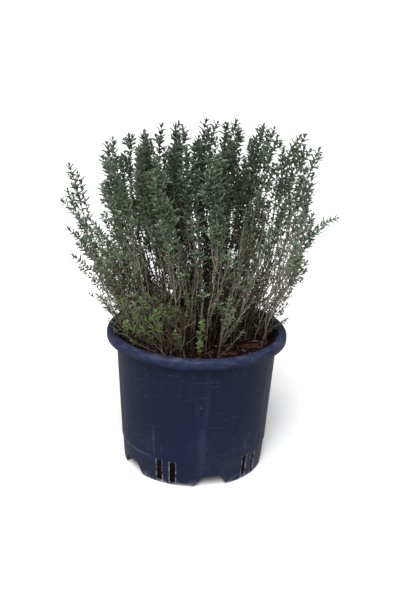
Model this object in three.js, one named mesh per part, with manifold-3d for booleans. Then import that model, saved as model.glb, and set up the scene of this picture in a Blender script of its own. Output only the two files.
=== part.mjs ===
// Potted thyme: a bushy thyme plant standing in a 19 cm plastic nursery container.
// Millimetres, +Z up. The origin is the centre of the pot's underside, so the pot stands on z = 0.
// The front of the pot faces -Y, and angles round the pot run from the front towards +X.
import * as THREE from "three";
import { mergeVertices } from "three/addons/utils/BufferGeometryUtils.js";
import Module from "manifold-3d";

const wasm = await Module();
wasm.setup();

// Clearance that touching pieces keep
const GAP = 0.3;

// Pot
const POT_HEIGHT = 149.5;
const RIM_RADIUS = 95;
const BODY_TOP_RADIUS = 84.8;
const BASE_RADIUS = 75.2;
const BASE_EDGE = 1.3;
const WALL = 1.6;
const FLOOR = 2;
const SKIRT_HEIGHT = 27.8;
const SKIRT_FLARE = 2;
const SKIRT_RECESS = 0.9;
const LIP_DROP = 9.6;
const LIP_THICKNESS = 1.8;
const POT_SIDES = 40;

// Drainage: scalloped notches that run inwards as arched channels, and two slots in each foot
const FEET = 5;
const PITCH = 360 / FEET;
const FIRST_NOTCH = 15;
const NOTCH_WIDTH = 38;
const NOTCH_FLAT = 15.5;
const NOTCH_HEIGHT = 12;
const CHANNEL_INNER_RADIUS = 42;
const SLOT_WIDTH = 6.2;
const SLOT_DEPTH = 14;
const SLOT_BOTTOM = 2.4;
const SLOT_TOP = 26.6;
const SLOT_TURN = 5.6;

// Soil
const SOIL_LEVEL = POT_HEIGHT - 12;
const SOIL_RELIEF = 1.5;
const SMALL_LUMPS = 0.8;
const ROOT_DEPTH = 22;

// Plant
const PLANT_HEIGHT = 220;
const TALL_PLACES = 34;
const TALL_RADIUS = 60;
const TALL_SHIFT = 3;
const SHOULDER_DROP = 22;
const RIGHT_LIFT = 4;
const UNEVEN_TOP = 20;
const RING_RADIUS = 72;
const BARE_FROM = 22;
const BARE_TO = 74;
const BARE_RADIUS = 36;
const GOLDEN_ANGLE = 137.508;

// The fan that the stems rise through
const SPREAD = 1.05;
const SPREAD_POWER = 1.1;
const SWAY = 6;
const SWAY_RISE = 34;
const SWAY_SPACING = 42;
const STRAIGHT_FOOT = 4;
const LATE_BEND = 5;

// Leaves and forks
const FORK_OFFSET = 5.2;
const FORK_BEND = 16;
const TIP_RADIUS = 0.8;
const BUD_LENGTH = 8;
const BUD_WIDTH = 4;
const BUD_THICKNESS = 1.3;
const FORK_RADIUS = 1;
const LEAF_LENGTH = 11;
const LEAF_WIDTH = 4.2;
const LEAF_THICKNESS = 1.3;
const LEAF_ROOT = 0.15;
const LEAFY_FROM = 0.5;

// Short shoots round the edge of the soil: where, how high and how far they arch out,
// how late they bend and how much of the fan they follow
const edgeShoots = [
  { side: -84, rise: 175, reach: 56, bend: 0.6, fan: 0 },
  { side: -102, rise: 88, reach: 37 },
  { side: -70, rise: 53, reach: 24 },
  { side: -118, rise: 114, reach: 10 },
  { side: -138, rise: 70, reach: 18 },
  { side: -165, rise: 122, reach: 4 },
  { side: 172, rise: 76, reach: 12 },
  { side: 150, rise: 114, reach: 6 },
  { side: 128, rise: 66, reach: 10 },
  { side: 113, rise: 190, reach: -20, bend: 3 },
  { side: 99, rise: 94, reach: 6 },
  { side: 86, rise: 139, reach: 42, bend: 9, fan: 0.7 },
  { side: 70, rise: 178, reach: -22, bend: 3 },
  { side: 18, rise: 76, reach: 0 },
  { side: 3, rise: 48, reach: 2, fresh: true },
  { side: -12, rise: 38, reach: 5, fresh: true },
  { side: -27, rise: 58, reach: 4, fresh: true },
  { side: -42, rise: 42, reach: 9, fresh: true },
  { side: -57, rise: 68, reach: 12, fresh: true },
  { side: -93, rise: 64, reach: 34, fresh: true },
];

// Bark chips on the soil: centre, half sizes and turn
const barkChips = [
  { x: 56, y: -24, half: [11, 7, 4.5], turn: 20 },
  { x: 37, y: -46, half: [8, 5, 3.2], turn: -35 },
  { x: 62, y: 11, half: [7, 4.5, 3], turn: -15 },
  { x: -34, y: -50, half: [7, 4, 2.8], turn: 35 },
];

const radians = THREE.MathUtils.degToRad;

// Materials

function matte(color, roughness) {
  return new THREE.MeshStandardMaterial({ color, roughness, metalness: 0 });
}

function potPlastic() {
  return matte(0x2b3049, 0.55);
}

function darkSoil() {
  return matte(0x1f1512, 0.95);
}

function pineBark() {
  return matte(0x5a2f22, 0.9);
}

function thymeGreen() {
  return matte(0x3f5743, 0.7);
}

function freshGreen() {
  return matte(0x6d8a3c, 0.65);
}

function deadWood() {
  return matte(0x4b4038, 0.85);
}

// Solids

function solidFrom(geometry) {
  const bare = geometry.clone();
  bare.deleteAttribute("normal");
  bare.deleteAttribute("uv");
  const merged = mergeVertices(bare, 1e-3);
  const corners = merged.index.array;
  const kept = [];
  for (let i = 0; i < corners.length; i += 3) {
    const [a, b, c] = corners.slice(i, i + 3);
    if (a !== b && b !== c && c !== a) {
      kept.push(a, b, c);
    }
  }
  const vertProperties = new Float32Array(merged.attributes.position.array);
  const triVerts = new Uint32Array(kept);
  return new wasm.Manifold(new wasm.Mesh({ numProp: 3, vertProperties, triVerts }));
}

function meshFrom(name, solid, material) {
  const made = solid.getMesh();
  const geometry = new THREE.BufferGeometry();
  geometry.setAttribute("position", new THREE.BufferAttribute(made.vertProperties, 3));
  geometry.setIndex(new THREE.BufferAttribute(made.triVerts, 1));
  geometry.computeVertexNormals();
  const mesh = new THREE.Mesh(geometry, material);
  mesh.name = name;
  return mesh;
}

function lathed(profile, sides) {
  const points = profile.map(([radius, height]) => new THREE.Vector2(radius, height));
  return new THREE.LatheGeometry(points, sides).rotateX(Math.PI / 2);
}

// A spot at this distance from the axis, at an angle from the front towards +X
function spotRound(radius, angle) {
  return new THREE.Vector2(radius * Math.sin(radians(angle)), -radius * Math.cos(radians(angle)));
}

// A short sequence of draws for each piece, so that no piece depends on another
function drawsFrom(seed) {
  let state = seed;
  return (low, high) => {
    state = (state * 16807) % 2147483647;
    return low + ((high - low) * state) / 2147483647;
  };
}

// Pot

function innerRadius(height) {
  const share = (height - FLOOR) / (POT_HEIGHT - LIP_DROP - FLOOR);
  return BASE_RADIUS - WALL + share * (BODY_TOP_RADIUS - BASE_RADIUS);
}

function skirtOutline() {
  return [
    [0, 0],
    [BASE_RADIUS - BASE_EDGE, 0],
    [BASE_RADIUS, BASE_EDGE],
    [BASE_RADIUS + SKIRT_FLARE, SKIRT_HEIGHT],
  ];
}

// A cup with a step above its skirt and a rim that rolls outwards and down
function cup() {
  const lipEdge = POT_HEIGHT - LIP_DROP;
  const lipInner = RIM_RADIUS - LIP_THICKNESS;
  return lathed(
    [
      ...skirtOutline(),
      [BASE_RADIUS + SKIRT_FLARE + SKIRT_RECESS, SKIRT_HEIGHT + SKIRT_RECESS],
      [BODY_TOP_RADIUS, lipEdge],
      [BODY_TOP_RADIUS + 2.6, POT_HEIGHT - 2.6],
      [lipInner - 1.6, POT_HEIGHT - 3],
      [lipInner, lipEdge],
      [RIM_RADIUS, lipEdge],
      [RIM_RADIUS, POT_HEIGHT - 5],
      [RIM_RADIUS - 1.6, POT_HEIGHT - 1.6],
      [RIM_RADIUS - 5, POT_HEIGHT],
      [RIM_RADIUS - 8.2, POT_HEIGHT - 1],
      [RIM_RADIUS - 10, POT_HEIGHT - 4],
      [innerRadius(lipEdge), lipEdge],
      [innerRadius(FLOOR), FLOOR],
      [0, FLOOR],
    ],
    POT_SIDES,
  );
}

// A radial arch with a flat top, whose sides ease out into the feet
function arch(grow, from, to, below, angle) {
  const flat = NOTCH_FLAT / 2 + grow * 0.6;
  const foot = NOTCH_WIDTH / 2 + grow;
  const top = NOTCH_HEIGHT + grow;
  const ease = (foot - flat) * 0.45;
  const outline = new THREE.Shape();
  outline.moveTo(-foot, -below);
  outline.lineTo(foot, -below);
  outline.lineTo(foot, 0);
  outline.bezierCurveTo(foot - ease, top * 0.2, flat + ease, top, flat, top);
  outline.lineTo(-flat, top);
  outline.bezierCurveTo(-flat - ease, top, ease - foot, top * 0.2, -foot, 0);
  outline.closePath();
  const options = { depth: to - from, bevelEnabled: false, curveSegments: 4 };
  const geometry = new THREE.ExtrudeGeometry(outline, options);
  geometry.translate(0, 0, from).rotateX(Math.PI / 2).rotateZ(radians(angle));
  return solidFrom(geometry);
}

function slot(angle) {
  const opening = new THREE.BoxGeometry(SLOT_WIDTH, SLOT_DEPTH, SLOT_TOP - SLOT_BOTTOM);
  opening.translate(0, -BASE_RADIUS, (SLOT_TOP + SLOT_BOTTOM) / 2).rotateZ(radians(angle));
  return solidFrom(opening);
}

const notchAngles = Array.from({ length: FEET }, (_, i) => FIRST_NOTCH + i * PITCH);

function potSolid() {
  const skirt = solidFrom(lathed([...skirtOutline(), [0, SKIRT_HEIGHT]], POT_SIDES));
  let made = solidFrom(cup());
  for (const angle of notchAngles) {
    const shell = arch(WALL, CHANNEL_INNER_RADIUS - WALL, BASE_RADIUS + 5, 0, angle);
    made = made.add(shell.intersect(skirt));
  }
  for (const angle of notchAngles) {
    made = made.subtract(arch(0, CHANNEL_INNER_RADIUS, BASE_RADIUS + 10, 2, angle));
    made = made.subtract(slot(angle + PITCH / 2 - SLOT_TURN));
    made = made.subtract(slot(angle + PITCH / 2 + SLOT_TURN));
  }
  return made;
}

// Soil: the pot's inside, with a lumpy top, a bed for each bark chip and a hole for each stem

function lumps(x, y) {
  return SOIL_RELIEF * Math.sin(x / 9 + 0.6) * Math.cos(y / 12) + SMALL_LUMPS * Math.sin((x + y) / 6);
}

function soilBlock() {
  const wall = innerRadius(SOIL_LEVEL - SOIL_RELIEF * 2) - GAP;
  const bottom = FLOOR + GAP;
  const geometry = lathed(
    [
      [0, bottom],
      [innerRadius(bottom) - GAP, bottom],
      [wall, SOIL_LEVEL],
      [wall * 0.65, SOIL_LEVEL],
      [0, SOIL_LEVEL],
    ],
    POT_SIDES,
  );
  const spots = geometry.attributes.position;
  for (let i = 0; i < spots.count; i += 1) {
    if (spots.getZ(i) > bottom + 1) {
      spots.setZ(i, SOIL_LEVEL + lumps(spots.getX(i), spots.getY(i)));
    }
  }
  return solidFrom(geometry);
}

// A rough flat chip, grown a little where it is used to press its bed into the soil
function chipSolid({ x, y, half, turn }, grow) {
  const draw = drawsFrom(500 + half[0] * 10 + turn);
  const geometry = new THREE.IcosahedronGeometry(1, 0);
  geometry.deleteAttribute("normal");
  geometry.deleteAttribute("uv");
  const chip = mergeVertices(geometry, 1e-3);
  const spots = chip.attributes.position;
  for (let i = 0; i < spots.count; i += 1) {
    const uneven = draw(0.85, 1.1);
    spots.setXYZ(i, spots.getX(i) * uneven, spots.getY(i) * uneven, spots.getZ(i));
  }
  chip.scale(half[0] + grow * 3, half[1] + grow * 2, half[2] + grow * 2);
  chip.rotateZ(radians(turn)).translate(x, y, SOIL_LEVEL + lumps(x, y));
  return solidFrom(chip);
}

function soilSolid(stems) {
  let made = soilBlock();
  for (const angle of notchAngles) {
    const clear = WALL + GAP * 3;
    made = made.subtract(arch(clear, CHANNEL_INNER_RADIUS - clear, BASE_RADIUS + 10, 5, angle));
  }
  for (const chip of barkChips) {
    made = made.subtract(chipSolid(chip, GAP));
  }
  for (const stem of stems) {
    made = made.subtract(stemHole(stem));
  }
  return made;
}

// A hole of the stem's own section, with the gap all round it
function stemHole({ base, thickness }) {
  const heights = [-ROOT_DEPTH - GAP, STRAIGHT_FOOT];
  const spots = heights.map((height) => new THREE.Vector3(base.x, base.y, SOIL_LEVEL + height));
  const radius = thickness + GAP * 2;
  return tubeThrough(stemRings({ heights, spots }, radius, radius));
}

// Plant: every stem rises through the same fan of space, so that no two can cross

function fanOut(x, y, height, { reach, rise, bend, fan }) {
  const up = Math.max(height - STRAIGHT_FOOT, 0);
  const share = up / PLANT_HEIGHT;
  const spread = 1 + SPREAD * fan * Math.pow(share, SPREAD_POWER);
  const arched = (reach * Math.pow(up / rise, bend)) / Math.max(Math.hypot(x, y), 1);
  const swayX = SWAY * Math.sin(up / SWAY_RISE + y / SWAY_SPACING);
  const swayY = SWAY * Math.cos(up / SWAY_RISE + x / SWAY_SPACING);
  return new THREE.Vector3(
    x * (spread + arched) + swayX * share,
    y * (spread + arched) + swayY * share,
    SOIL_LEVEL + height,
  );
}

// A line is a row of spots joined straight, each at its height above the soil
function spotOn({ heights, spots }, height) {
  let i = 1;
  while (i < heights.length - 1 && heights[i] < height) {
    i += 1;
  }
  const share = (height - heights[i - 1]) / (heights[i] - heights[i - 1]);
  return spots[i - 1].clone().lerp(spots[i], share);
}

function directionOn(line, height) {
  return spotOn(line, height + 1).sub(spotOn(line, height - 1)).normalize();
}

function evenly(from, to, steps) {
  return Array.from({ length: steps + 1 }, (_, i) => from + ((to - from) * i) / steps);
}

// The main line stands straight in its hole, then leans out with the fan
function mainLine(stem) {
  const steps = stem.bend > LATE_BEND ? 6 : 4;
  const heights = [-ROOT_DEPTH, ...evenly(STRAIGHT_FOOT, stem.rise, steps)];
  return { heights, spots: heights.map((height) => fanOut(stem.base.x, stem.base.y, height, stem)) };
}

// A fork starts on the main line, parts from it over a short rise and runs up beside it
function forkLine(stem, main, start, end, turn) {
  const heights = [start, ...evenly(start + FORK_BEND, end, 2)];
  const spots = heights.map((height) => {
    const x = stem.base.x + FORK_OFFSET * Math.cos(turn);
    const y = stem.base.y + FORK_OFFSET * Math.sin(turn);
    return fanOut(x, y, height, stem);
  });
  spots[0] = spotOn(main, start);
  return { heights, spots };
}

// Two directions square to a stem, the first one level
function squareTo(along) {
  const side = new THREE.Vector3(0, 1, 0).cross(along).normalize();
  return [side, along.clone().cross(side)];
}

// A closed tube through rings of three corners, each with a spot, a direction and two radii
function tubeThrough(rings) {
  const steps = rings.length - 1;
  const geometry = new THREE.CylinderGeometry(1, 1, steps, 3, steps);
  const corners = geometry.attributes.position;
  for (let i = 0; i < corners.count; i += 1) {
    const { spot, along, deep, wide } = rings[Math.round(corners.getY(i) + steps / 2)];
    const [side, front] = squareTo(along);
    const corner = spot.clone().addScaledVector(side, corners.getZ(i) * deep);
    corner.addScaledVector(front, corners.getX(i) * wide);
    corners.setXYZ(i, corner.x, corner.y, corner.z);
  }
  return solidFrom(geometry);
}

function stemRings(line, rootRadius, tipRadius) {
  const last = line.heights.length - 1;
  return line.heights.map((height, i) => {
    const radius = THREE.MathUtils.lerp(rootRadius, tipRadius, i / last);
    return { spot: line.spots[i], along: directionOn(line, height), deep: radius, wide: radius };
  });
}

// A leafy line ends in a bud of folded leaves, which widens and then comes to a point
function budRings(line) {
  const along = directionOn(line, line.heights.at(-1));
  const ring = (out, deep, wide) => {
    const spot = line.spots.at(-1).clone().addScaledVector(along, out);
    return { spot, along, deep, wide };
  };
  return [
    ring(BUD_LENGTH * 0.4, BUD_THICKNESS / 1.5, BUD_WIDTH / Math.sqrt(3)),
    ring(BUD_LENGTH, 0, 0),
  ];
}

// A pointed blade with a raised midrib, which runs out from the stem's middle
function blade(length) {
  const across = Math.sqrt(8);
  const geometry = new THREE.TetrahedronGeometry(Math.sqrt(3));
  geometry.rotateZ(-Math.PI / 4);
  geometry.scale(length / across, LEAF_WIDTH / across, LEAF_THICKNESS / 2);
  geometry.translate(length / 2 - LEAF_ROOT, 0, -LEAF_THICKNESS / 2);
  return geometry;
}

// A leaf at a height on a line, turned round it and opened away from it
function leafAt(line, height, turn, open, length) {
  const along = directionOn(line, height);
  const [side, front] = squareTo(along);
  const away = side.multiplyScalar(Math.cos(turn)).addScaledVector(front, Math.sin(turn));
  const out = away.clone().multiplyScalar(Math.sin(open)).addScaledVector(along, Math.cos(open));
  const across = along.clone().cross(away).normalize();
  const face = out.clone().cross(across);
  const basis = new THREE.Matrix4().makeBasis(out, across, face).setPosition(spotOn(line, height));
  return solidFrom(blade(length).applyMatrix4(basis));
}

// Opposite leaves in pairs up a line, each pair square to the last, the top one just below the bud
function leavesOn(line, from, pairs, draw) {
  const top = line.heights.at(-1) - 3;
  const spacing = (top - from) / pairs;
  const leaves = [];
  for (let i = 0; i < pairs; i += 1) {
    const height = top - spacing * (i + draw(-0.15, 0.15) * Math.min(i, 1));
    const turn = draw(0, 0.8) + (i % 2) * (Math.PI / 2);
    for (const half of [0, Math.PI]) {
      const open = radians(i === 0 ? 38 : draw(46, 62));
      leaves.push(leafAt(line, height, turn + half, open, LEAF_LENGTH * draw(0.8, 1)));
    }
  }
  return leaves;
}

function growStem(stem) {
  const draw = drawsFrom(stem.seed);
  const main = mainLine(stem);
  const firstTurn = draw(0, Math.PI * 2);
  const forks = stem.forks.map((share, i) => {
    const start = stem.rise * (share + draw(0, 0.08));
    const end = stem.rise * draw(0.8, 0.96);
    return forkLine(stem, main, start, end, firstTurn + i * Math.PI + draw(-0.4, 0.4));
  });
  let made = null;
  [main, ...forks].forEach((line, i) => {
    const radius = i === 0 ? stem.thickness : FORK_RADIUS;
    const pairs = Math.max(stem.pairs - i, 0);
    const bud = stem.pairs > 0 ? budRings(line) : [];
    const tube = tubeThrough([...stemRings(line, radius, TIP_RADIUS), ...bud]);
    made = made ? made.add(tube) : tube;
    for (const leaf of leavesOn(line, stem.rise * LEAFY_FROM, pairs, draw)) {
      made = made.add(leaf);
    }
  });
  return made;
}

// Tall stems fill the middle, save for the bare patch of soil at the front right
function tallStems() {
  const stems = [];
  for (let i = 0; i < TALL_PLACES; i += 1) {
    const out = TALL_RADIUS * Math.sqrt((i + 0.5) / TALL_PLACES);
    const turn = (i * GOLDEN_ANGLE) % 360;
    const draw = drawsFrom(1201 + i * 97);
    const drop = SHOULDER_DROP * Math.pow(out / TALL_RADIUS, 2) + draw(0, UNEVEN_TOP);
    const lift = (RIGHT_LIFT * out * Math.sin(radians(turn))) / TALL_RADIUS;
    const rise = PLANT_HEIGHT - drop + lift;
    const thickness = draw(1.5, 2);
    if (turn < BARE_FROM || turn > BARE_TO || out < BARE_RADIUS) {
      const seed = 3001 + i * 83;
      const base = spotRound(out, turn).add(new THREE.Vector2(TALL_SHIFT, 0));
      const shape = { reach: 0, bend: 1, fan: 1, forks: [0.24, 0.44], pairs: 3 };
      stems.push({ ...shape, base, rise, thickness, seed });
    }
  }
  return stems;
}

function shortShoots() {
  return edgeShoots.map(({ side, rise, reach, bend = 1.8, fan = 1, fresh = false }, i) => ({
    base: spotRound(RING_RADIUS, side),
    rise,
    reach,
    bend,
    fan,
    fresh,
    thickness: 1.3,
    forks: rise > 60 ? [0.3] : [],
    pairs: rise > 60 ? 2 : 1,
    seed: 7001 + i * 89,
  }));
}

function brokenTwig() {
  const base = spotRound(RING_RADIUS, 92);
  const shape = { reach: 24, bend: 1.3, fan: 1, forks: [0.3], pairs: 0 };
  return { ...shape, base, rise: 24, thickness: 1.4, seed: 9001 };
}

function numbered(word, i) {
  return word + "_" + String(i + 1).padStart(2, "0");
}

const tall = tallStems();
const short = shortShoots();
const twig = brokenTwig();

const pottedThyme = new THREE.Group();
pottedThyme.add(meshFrom("pot", potSolid(), potPlastic()));
pottedThyme.add(meshFrom("soil", soilSolid([...tall, ...short, twig]), darkSoil()));
barkChips.forEach((chip, i) => {
  pottedThyme.add(meshFrom(numbered("bark_chip", i), chipSolid(chip, 0), pineBark()));
});
tall.forEach((stem, i) => {
  pottedThyme.add(meshFrom(numbered("thyme_stem", i), growStem(stem), thymeGreen()));
});
short.forEach((stem, i) => {
  const material = stem.fresh ? freshGreen() : thymeGreen();
  pottedThyme.add(meshFrom(numbered("edge_shoot", i), growStem(stem), material));
});
pottedThyme.add(meshFrom("broken_twig", growStem(twig), deadWood()));

export default pottedThyme;
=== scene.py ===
import math
import random
from typing import NamedTuple

import bmesh
import bpy
from mathutils import Matrix, Vector, noise


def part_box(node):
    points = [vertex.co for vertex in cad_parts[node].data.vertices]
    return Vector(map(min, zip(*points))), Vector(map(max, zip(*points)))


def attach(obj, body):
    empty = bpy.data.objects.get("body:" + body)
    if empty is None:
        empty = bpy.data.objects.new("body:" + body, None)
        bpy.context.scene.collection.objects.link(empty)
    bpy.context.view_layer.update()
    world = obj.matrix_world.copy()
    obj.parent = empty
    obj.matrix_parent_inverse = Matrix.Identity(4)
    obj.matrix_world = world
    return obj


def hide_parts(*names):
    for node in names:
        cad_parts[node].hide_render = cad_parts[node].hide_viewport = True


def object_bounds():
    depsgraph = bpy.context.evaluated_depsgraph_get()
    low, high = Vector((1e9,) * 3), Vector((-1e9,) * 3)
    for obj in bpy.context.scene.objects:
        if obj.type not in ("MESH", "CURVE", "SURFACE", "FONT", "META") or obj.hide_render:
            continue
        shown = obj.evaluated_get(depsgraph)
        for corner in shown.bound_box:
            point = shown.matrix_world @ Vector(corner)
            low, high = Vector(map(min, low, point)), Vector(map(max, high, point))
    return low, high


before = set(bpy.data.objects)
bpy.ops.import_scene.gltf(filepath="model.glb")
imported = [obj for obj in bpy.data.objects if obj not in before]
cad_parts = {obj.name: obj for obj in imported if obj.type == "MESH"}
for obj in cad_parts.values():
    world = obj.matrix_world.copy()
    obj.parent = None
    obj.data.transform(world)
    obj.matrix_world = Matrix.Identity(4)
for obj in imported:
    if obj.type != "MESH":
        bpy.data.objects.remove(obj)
cad_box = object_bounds()
MM = 0.001

# The view: the pot stands on a pale studio floor, in soft light from above and in front and a weak
# light from behind. The camera stands about a metre away, a little above the plant, and is tilted by
# two degrees.

CAMERA_PLACE = Vector((0, -0.9333, 0.509))
CAMERA_AIM = Vector((0.0022, 0, 0.1788))
CAMERA_LENS = 56.7
CAMERA_TILT = 2.04
FLOOR_SIZE = 40
FLOOR_DROP = 0.3 * MM
FLOOR_GREY = (0.86, 0.86, 0.87, 1)
FLOOR_PALE = (0.88, 0.88, 0.88, 1)
SKY_COLOUR = (0.93, 0.96, 1.0, 1)
SKY_STRENGTH = 0.10
BACKDROP_COLOUR = (1, 1, 1, 1)
# Each light: name, direction that it shines in, strength, and angle that it fills in degrees
LIGHTS = [
    ("overhead", (0.1, 0.45, -1), 3.5, 40),
    ("front", (0.12, 1, -0.8), 2.2, 25),
    ("behind", (-0.2, -1, -1.1), 0.4, 60),
]

camera = bpy.data.objects.new("camera", bpy.data.cameras.new("camera"))
camera.data.lens = CAMERA_LENS
looking = (CAMERA_AIM - CAMERA_PLACE).to_track_quat("-Z", "Y").to_matrix()
tilted = looking @ Matrix.Rotation(math.radians(CAMERA_TILT), 3, "Z")
camera.matrix_world = Matrix.Translation(CAMERA_PLACE) @ tilted.to_4x4()
bpy.context.scene.collection.objects.link(camera)
bpy.context.scene.camera = camera
bpy.context.scene.view_settings.view_transform = "Standard"

world = bpy.data.worlds.new("studio")
world.use_nodes = True
studio = world.node_tree
sky = studio.nodes["Background"]
sky.inputs["Color"].default_value = SKY_COLOUR
sky.inputs["Strength"].default_value = SKY_STRENGTH
backdrop = studio.nodes.new("ShaderNodeBackground")
backdrop.inputs["Color"].default_value = BACKDROP_COLOUR
seen = studio.nodes.new("ShaderNodeLightPath")
chosen = studio.nodes.new("ShaderNodeMixShader")
studio.links.new(seen.outputs["Is Camera Ray"], chosen.inputs[0])
studio.links.new(sky.outputs[0], chosen.inputs[1])
studio.links.new(backdrop.outputs[0], chosen.inputs[2])
studio.links.new(chosen.outputs[0], studio.nodes["World Output"].inputs["Surface"])
bpy.context.scene.world = world

for light_name, direction, strength, fills in LIGHTS:
    lamp = bpy.data.objects.new(light_name, bpy.data.lights.new(light_name, "SUN"))
    lamp.data.energy = strength
    lamp.data.angle = math.radians(fills)
    lamp.matrix_world = Vector(direction).to_track_quat("-Z", "Y").to_matrix().to_4x4()
    bpy.context.scene.collection.objects.link(lamp)


class Amount:
    """A shader socket that can stand in a sum, so that shader maths reads as Python."""

    def __init__(self, finish, socket):
        self.finish = finish
        self.socket = socket

    def maths(self, operation, *terms, clamp=False):
        settings = {"operation": operation, "use_clamp": clamp}
        return self.finish.node("ShaderNodeMath", settings, dict(enumerate(terms)))

    def __add__(self, other):
        return self.maths("ADD", self, other)

    def __radd__(self, other):
        return self.maths("ADD", other, self)

    def __sub__(self, other):
        return self.maths("SUBTRACT", self, other)

    def __rsub__(self, other):
        return self.maths("SUBTRACT", other, self)

    def __mul__(self, other):
        return self.maths("MULTIPLY", self, other)

    def __rmul__(self, other):
        return self.maths("MULTIPLY", other, self)

    def __truediv__(self, other):
        return self.maths("DIVIDE", self, other)

    def fade(self, start, end):
        """0 before start, 1 after end, and a straight slope between."""
        return self.maths("MULTIPLY", self - start, 1 / (end - start), clamp=True)

    def absolute(self):
        return self.maths("ABSOLUTE", self)


class Finish:
    """A material with one Principled surface, and its colour, roughness and bump."""

    def __init__(self, name, **even):
        self.material = bpy.data.materials.new(name)
        self.material.use_nodes = True
        self.tree = self.material.node_tree
        self.surface = self.tree.nodes["Principled BSDF"]
        for socket, value in even.items():
            self.surface.inputs[socket.replace("_", " ")].default_value = value

    def node(self, kind, settings=None, inputs=None, output=0):
        made = self.tree.nodes.new(kind)
        for setting, value in (settings or {}).items():
            setattr(made, setting, value)
        for socket, value in (inputs or {}).items():
            if isinstance(value, Amount):
                self.tree.links.new(value.socket, made.inputs[socket])
            else:
                made.inputs[socket].default_value = value
        return Amount(self, made.outputs[output])

    def place(self):
        return self.node("ShaderNodeTexCoord", output="Object")

    def coordinates(self):
        """The three coordinates of the place on the object, in metres."""
        return [self.node("ShaderNodeSeparateXYZ", inputs={0: self.place()}, output=i) for i in range(3)]

    def from_axis(self):
        """The distance from the pot's axis, in metres."""
        x, y, _ = self.coordinates()
        square = x * x + y * y
        return square.maths("POWER", square, 0.5)

    def grain(self, scale, stretch=(1, 1, 1), detail=3.0, rough=0.55):
        """Cloudy noise from 0 to 1, with its scale in lumps a metre, drawn out along an axis by stretch."""
        mapped = self.node("ShaderNodeMapping", inputs={"Vector": self.place(), "Scale": stretch})
        values = {"Vector": mapped, "Scale": scale, "Detail": detail, "Roughness": rough}
        return self.node("ShaderNodeTexNoise", inputs=values, output="Fac")

    def cells(self, scale):
        """A number from 0 to 1 for each cell of a broken pattern."""
        values = {"Vector": self.place(), "Scale": scale}
        colour = self.node("ShaderNodeTexVoronoi", inputs=values, output="Color")
        return self.node("ShaderNodeSeparateColor", inputs={0: colour})

    def attribute(self, name, output="Fac"):
        return self.node("ShaderNodeAttribute", {"attribute_name": name}, output=output)

    def blend(self, share, first, second):
        """A colour between two colours."""
        values = {0: share, 6: first, 7: second}
        return self.node("ShaderNodeMix", {"data_type": "RGBA"}, values, output=2)

    def bump(self, height, distance, strength=1.0, below=None):
        values = {"Height": height, "Distance": distance, "Strength": strength}
        if below is not None:
            values["Normal"] = below
        return self.node("ShaderNodeBump", inputs=values)

    def feed(self, **varied):
        for socket, value in varied.items():
            self.tree.links.new(value.socket, self.surface.inputs[socket.replace("_", " ")])
        return self.material


def rgb(red, green, blue):
    return (red, green, blue, 1)


def piece_from(name, mesh_maker, finishes):
    """An object at the origin, from a bmesh that is freed once it is a mesh."""
    mesh = bpy.data.meshes.new(name)
    mesh_maker.to_mesh(mesh)
    mesh_maker.free()
    for finish in finishes:
        mesh.materials.append(finish)
    made = bpy.data.objects.new(name, mesh)
    bpy.context.scene.collection.objects.link(made)
    return made


floor_finish = Finish("studio_floor", Roughness=0.9)
floor_paint = floor_finish.blend(floor_finish.grain(3.0), FLOOR_GREY, FLOOR_PALE)
floor_mesh = bmesh.new()
bmesh.ops.create_grid(floor_mesh, x_segments=1, y_segments=1, size=FLOOR_SIZE / 2)
bmesh.ops.translate(floor_mesh, vec=(0, 0, -FLOOR_DROP), verts=floor_mesh.verts)
floor = piece_from("studio_floor", floor_mesh, [floor_finish.feed(Base_Color=floor_paint)])

# The pot is one thin moulding of dark blue-grey plastic. Its wall tapers to a stepped skirt with
# scalloped drainage notches and pairs of slots, and its rim rolls outwards and down. It is scuffed
# and dusty, with pale marks where it has been wet and set down, and painted highlights on the top
# of its rim and along its step at the left.

POT_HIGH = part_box("pot")[1]
RIM_RADIUS = POT_HIGH.x
POT_HEIGHT = POT_HIGH.z
BODY_TOP_RADIUS = 84.8 * MM
BASE_RADIUS = 75.2 * MM
WALL = 1.6 * MM
POT_FLOOR = 2 * MM
SKIRT_HEIGHT = 27.8 * MM
SKIRT_FLARE = 2 * MM
STEP_ROUND = 0.9 * MM
FOOT_ROUND = 1.3 * MM
FLOOR_CORNER = 2 * MM
LIP_DROP = 9.6 * MM
LIP_THICKNESS = 1.8 * MM
NECK_DROP = 2 * MM
NECK_ROUND = 3 * MM
NECK_RISE = 4 * MM
HEM_EDGE = 0.4 * MM
HEM_ROUND = 0.6 * MM
ROLL_WIDTH = 5.2 * MM
ROLL_UNDER = 3 * MM
ROLL_INSET = 6 * MM
ROLL_INNER_WIDTH = 4 * MM
ROLL_INNER_DROP = 4.4 * MM
POT_SIDES = 144
FEET = 5
PITCH = 360 / FEET
FIRST_NOTCH = 15
NOTCH_WIDTH = 38 * MM
NOTCH_FLAT = 15.5 * MM
NOTCH_HEIGHT = 12 * MM
CHANNEL_INNER_RADIUS = 42 * MM
SLOT_WIDTH = 6.2 * MM
SLOT_BOTTOM = 2.4 * MM
SLOT_TOP = 26.6 * MM
SLOT_TURN = 5.6
SLOT_DEPTH = 14 * MM
CUT_PAST = 10 * MM
EDGE_ROUND = 0.35 * MM
ROUNDED_FROM = 50

NAVY_DARK = rgb(0.0022, 0.0045, 0.0180)
NAVY_LIGHT = rgb(0.0055, 0.0093, 0.0305)
# The scuffed and dusty colours, which also carry the painted highlights of the rim and the step
NAVY_SCUFF_AND_HIGHLIGHT = rgb(0.036, 0.046, 0.090)
DUST_AND_HIGHLIGHT_GREY = rgb(0.24, 0.235, 0.27)
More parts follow.
